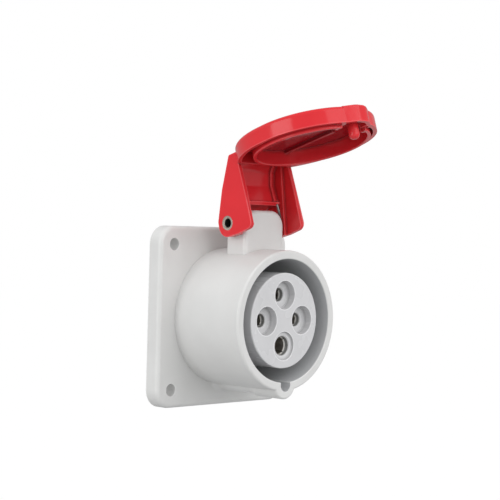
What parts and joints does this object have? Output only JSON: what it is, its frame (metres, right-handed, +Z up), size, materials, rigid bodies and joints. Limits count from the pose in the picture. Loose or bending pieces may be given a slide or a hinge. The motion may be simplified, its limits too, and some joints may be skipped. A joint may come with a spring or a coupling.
{
  "type": "industrial panel socket",
  "caption": "Square-flanged panel socket for a round industrial plug, with a keyed barrel, sleeve contacts behind recessed entries and a hinged lid standing open.",
  "frame": {"origin": "centre of the square flange's rear plane, where the panel begins, and of the four fixing holes", "axes": "+Y points back through the panel, the socket faces -Y, +Z is up towards the hinge, +X is to the right of someone who faces the socket"},
  "size_m": [0.075, 0.0954, 0.1242],
  "materials": {
    "housing_plastic": "light warm grey moulded plastic with a fine satin skin",
    "insert_plastic": "light grey moulded plastic, slightly smoother than the housing",
    "lid_plastic": "glossy red moulded plastic",
    "gasket_rubber": "soft black sealing rubber",
    "contact_brass": "turned brass",
    "ring_steel": "drawn spring steel",
    "screw_steel": "zinc-plated steel",
    "pin_steel": "bright plated steel tube"
  },
  "bodies": {
    "housing": {"housing": "housing_plastic", "panel_gasket": "gasket_rubber", "contact_carrier": "insert_plastic", "terminal_block": "insert_plastic", "phase_contact_1": "contact_brass", "phase_contact_2": "contact_brass", "phase_contact_3": "contact_brass", "earth_contact": "contact_brass", "grip_ring_1": "ring_steel", "grip_ring_2": "ring_steel", "grip_ring_3": "ring_steel", "grip_ring_4": "ring_steel", "terminal_screw_1": "screw_steel", "terminal_screw_2": "screw_steel", "terminal_screw_3": "screw_steel", "terminal_screw_4": "screw_steel", "centre_screw": "screw_steel", "ear_screw_1": "screw_steel", "ear_screw_2": "screw_steel", "hinge_pin": "pin_steel", "lid_spring": "ring_steel"},
    "lid": {"lid": "lid_plastic"}
  },
  "joints": [
    {"name": "lid_hinge", "type": "hinge", "parent": "housing", "child": "lid", "pos_m": [0, -0.0229, 0.0392], "axis": [1, 0, 0], "range_deg": [0, 107.5], "deforming": ["lid_spring"]}
  ]
}
